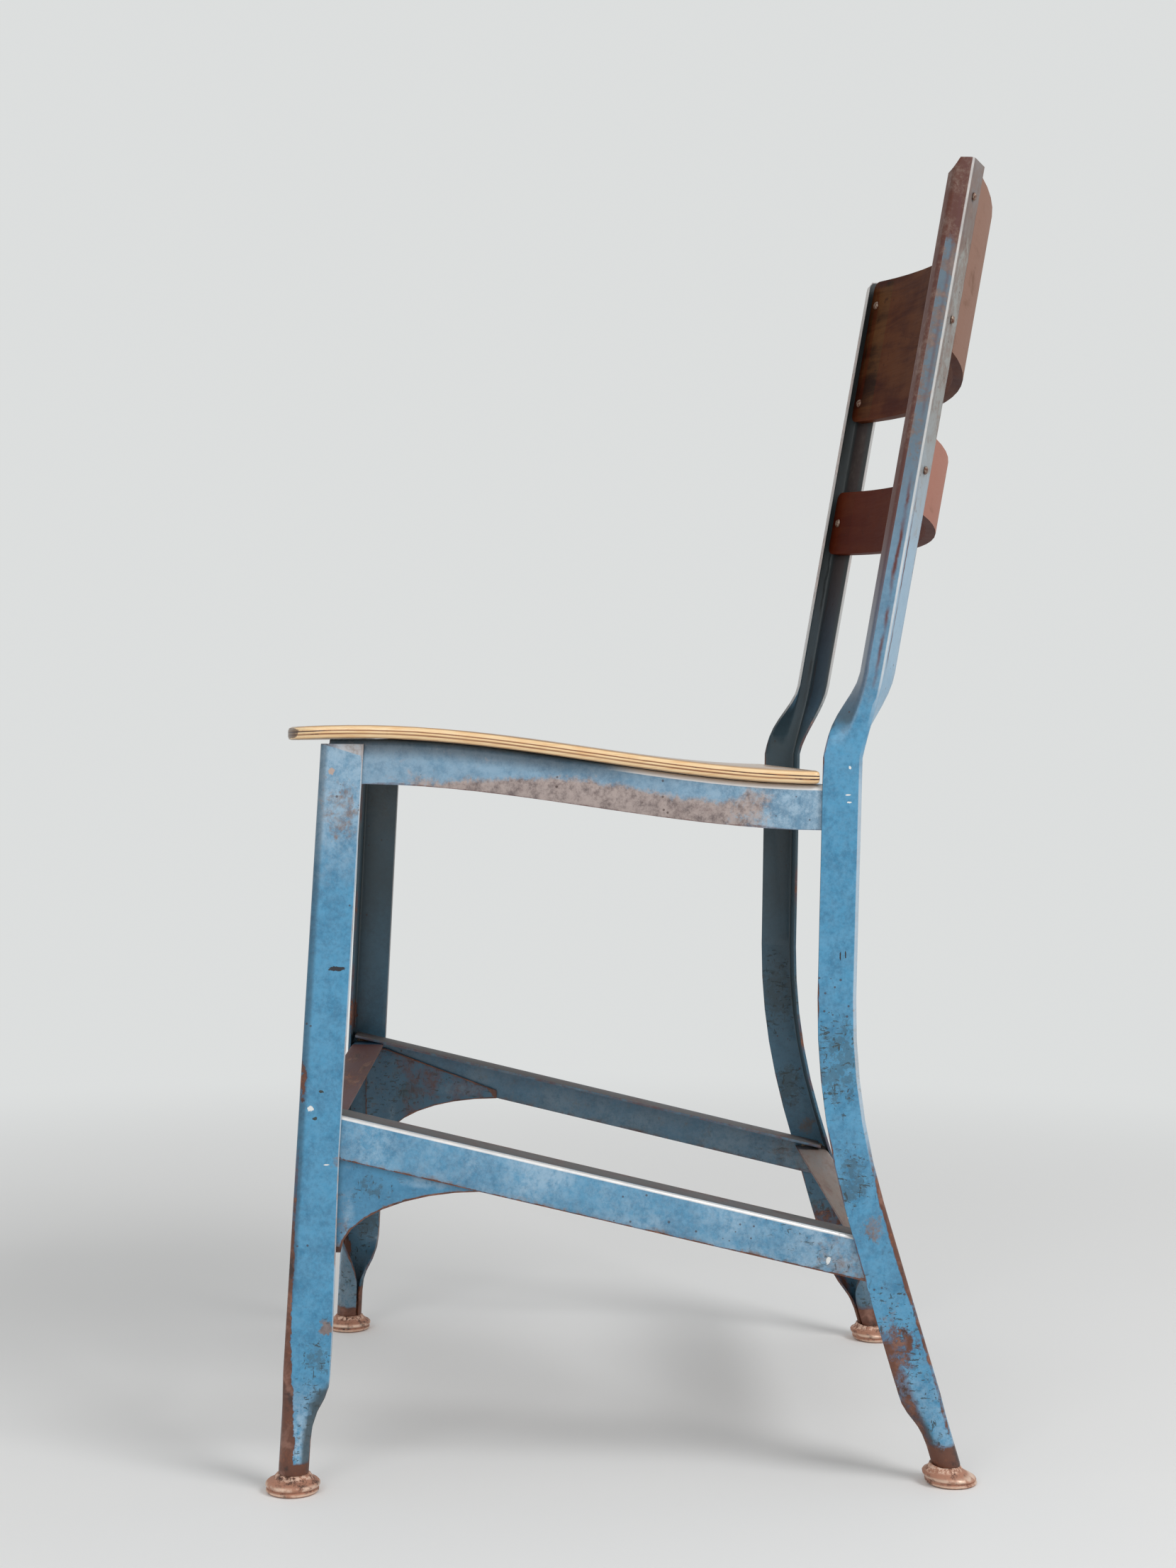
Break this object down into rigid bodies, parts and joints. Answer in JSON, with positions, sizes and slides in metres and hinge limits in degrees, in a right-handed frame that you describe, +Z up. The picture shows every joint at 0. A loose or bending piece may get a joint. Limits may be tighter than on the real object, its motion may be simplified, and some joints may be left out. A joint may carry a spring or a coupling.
{
  "type": "side chair",
  "caption": "Industrial side chair of folded sheet steel with a bent plywood seat and curved back slats, its blue paint peeling and rusted at the edges.",
  "frame": {"origin": "on the floor, under the middle of the chair's box", "axes": "+Z up, the chair faces -Y, its left side is +X"},
  "size_m": [0.424, 0.4565, 0.804],
  "materials": {
    "blue_paint": "worn blue paint over folded steel, peeling to brown primer and rust along edges, scratched and chipped",
    "rusted_steel": "rusty brown foot glides, rubbed pale along the rim",
    "seat_plywood": "varnished birch plywood with light and dark plies at its edge",
    "stained_plywood": "dark red-brown stained plywood, satin and faded on its back",
    "worn_steel": "dull worn steel with brown stains"
  },
  "bodies": {
    "root": {"front_leg_left": "blue_paint", "front_leg_right": "blue_paint", "rear_leg_left": "blue_paint", "rear_leg_right": "blue_paint", "seat_rail_left": "blue_paint", "seat_rail_right": "blue_paint", "seat_rail_front": "blue_paint", "seat_rail_rear": "blue_paint", "side_stretcher_left": "blue_paint", "side_stretcher_right": "blue_paint", "cross_stretcher_front": "blue_paint", "cross_stretcher_rear": "blue_paint", "gusset_left": "blue_paint", "gusset_right": "blue_paint", "front_glide_left": "rusted_steel", "front_glide_right": "rusted_steel", "rear_glide_left": "rusted_steel", "rear_glide_right": "rusted_steel", "seat_board": "seat_plywood", "back_slat_upper": "stained_plywood", "back_slat_lower": "stained_plywood", "upper_slat_rivet_top_left": "worn_steel", "upper_slat_rivet_top_right": "worn_steel", "upper_slat_rivet_bottom_left": "worn_steel", "upper_slat_rivet_bottom_right": "worn_steel", "lower_slat_rivet_left": "worn_steel", "lower_slat_rivet_right": "worn_steel", "seat_screw_front_left": "worn_steel", "seat_screw_front_right": "worn_steel", "seat_screw_rear_left": "worn_steel", "seat_screw_rear_right": "worn_steel"}
  },
  "joints": []
}
